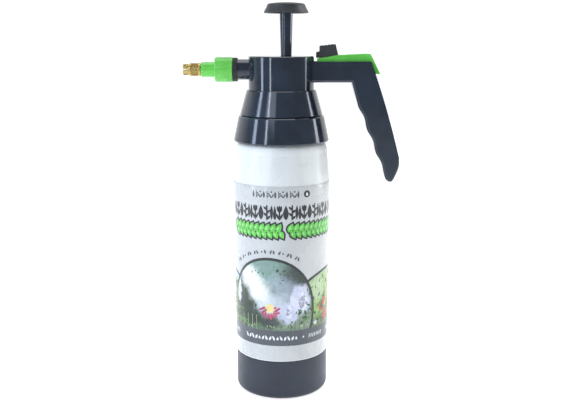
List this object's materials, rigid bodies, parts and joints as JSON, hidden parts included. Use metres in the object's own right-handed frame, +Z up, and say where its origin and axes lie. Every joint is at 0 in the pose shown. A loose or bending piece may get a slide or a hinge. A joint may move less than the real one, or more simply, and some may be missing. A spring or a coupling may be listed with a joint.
{
  "type": "hand mister",
  "caption": "Upright one-litre pump-pressure hand mister with a screw-on head, plunger, thumb lever, side grip and adjustable brass nozzle.",
  "frame": {"origin": "centre of the base cup's underside", "axes": "+Z up the bottle's axis, -X towards the nozzle, +X towards the handle"},
  "size_m": [0.1845, 0.0842, 0.3377],
  "materials": {
    "head_plastic": "gloss",
    "base_plastic": "satin",
    "bottle_plastic": "translucent satin",
    "label_film": "printed gloss film",
    "knob_plastic": "satin",
    "green_plastic": "semi-gloss",
    "brass": "turned",
    "rubber": "matte",
    "inner_plastic": "moulded",
    "steel": "plated"
  },
  "bodies": {
    "bottle": {"bottle": "bottle_plastic", "base_cup": "base_plastic", "label_sleeve": "label_film"},
    "head": {"head_housing": "head_plastic", "top_cap": "head_plastic", "mouth_plate": "inner_plastic", "mouth_gasket": "rubber", "deck_screws": "steel", "pump_barrel": "inner_plastic", "barrel_o_ring": "rubber", "foot_valve": "rubber", "foot_valve_cage": "inner_plastic", "valve_body": "inner_plastic", "valve_seat": "rubber", "valve_cap": "inner_plastic", "valve_spring": "steel", "stem_o_ring": "rubber", "inlet_o_ring": "rubber", "outlet_tube": "inner_plastic", "dip_tube": "inner_plastic", "strainer": "inner_plastic", "outlet_gasket": "rubber", "lever_pin": "steel", "grip_back_cover": "head_plastic", "cover_screws": "steel"},
    "collar": {"screw_collar": "head_plastic"},
    "pump": {"pump_knob": "knob_plastic", "pump_rod": "head_plastic", "piston": "inner_plastic", "piston_seal": "rubber"},
    "lever": {"thumb_lever": "green_plastic", "lift_fork": "inner_plastic"},
    "stem": {"valve_stem": "inner_plastic", "valve_plug": "inner_plastic"},
    "lock": {"lock_button": "knob_plastic"},
    "nozzle_carrier": {"nozzle_holder": "green_plastic", "holder_washer": "rubber", "swirl_core": "inner_plastic"},
    "nut": {"outlet_nut": "green_plastic"},
    "spray_slide": {"nozzle_o_ring": "rubber"},
    "spray_cap": {"brass_nozzle": "brass"}
  },
  "joints": [
    {"name": "head_lift", "type": "slide", "parent": "bottle", "child": "head", "axis": [0, 0, 1], "range_m": [0, 0.01]},
    {"name": "collar_turn", "type": "hinge", "parent": "head", "child": "collar", "pos_m": [0, 0, 0.23], "axis": [0, 0, 1], "range_deg": [0, 901]},
    {"name": "pump_stroke", "type": "slide", "parent": "head", "child": "pump", "axis": [0, 0, 1], "range_m": [-0.035, 0]},
    {"name": "lever_press", "type": "hinge", "parent": "head", "child": "lever", "pos_m": [0.037, 0, 0.2835], "axis": [0, 1, 0], "range_deg": [0, 4.5], "stiffness_Nm_per_rad": 2, "springref_deg": -2.86},
    {"name": "stem_lift", "type": "slide", "parent": "head", "child": "stem", "axis": [0, 0, 1], "range_m": [0, 0.0041], "deforming": ["valve_spring"]},
    {"name": "lock_slide", "type": "slide", "parent": "lever", "child": "lock", "axis": [-1, 0, 0], "range_m": [0, 0.0035]},
    {"name": "nut_travel", "type": "slide", "parent": "head", "child": "nozzle_carrier", "axis": [-1, 0, 0], "range_m": [0, 0.005]},
    {"name": "nut_turn", "type": "hinge", "parent": "nozzle_carrier", "child": "nut", "pos_m": [-0.05, 0, 0.282], "axis": [-1, 0, 0], "range_deg": [0, 721]},
    {"name": "spray_travel", "type": "slide", "parent": "nozzle_carrier", "child": "spray_slide", "axis": [-1, 0, 0], "range_m": [0, 0.00225]},
    {"name": "spray_turn", "type": "hinge", "parent": "spray_slide", "child": "spray_cap", "pos_m": [-0.075, 0, 0.282], "axis": [-1, 0, 0], "range_deg": [0, 541]}
  ],
  "couplings": [
    {"joint": "collar_turn", "follows": "head_lift", "rad_per_m": 1570.8},
    {"joint": "stem_lift", "follows": "lever_press", "m_per_rad": 0.052},
    {"joint": "nut_turn", "follows": "nut_travel", "rad_per_m": 2513.3},
    {"joint": "spray_turn", "follows": "spray_travel", "rad_per_m": 4188.8}
  ]
}
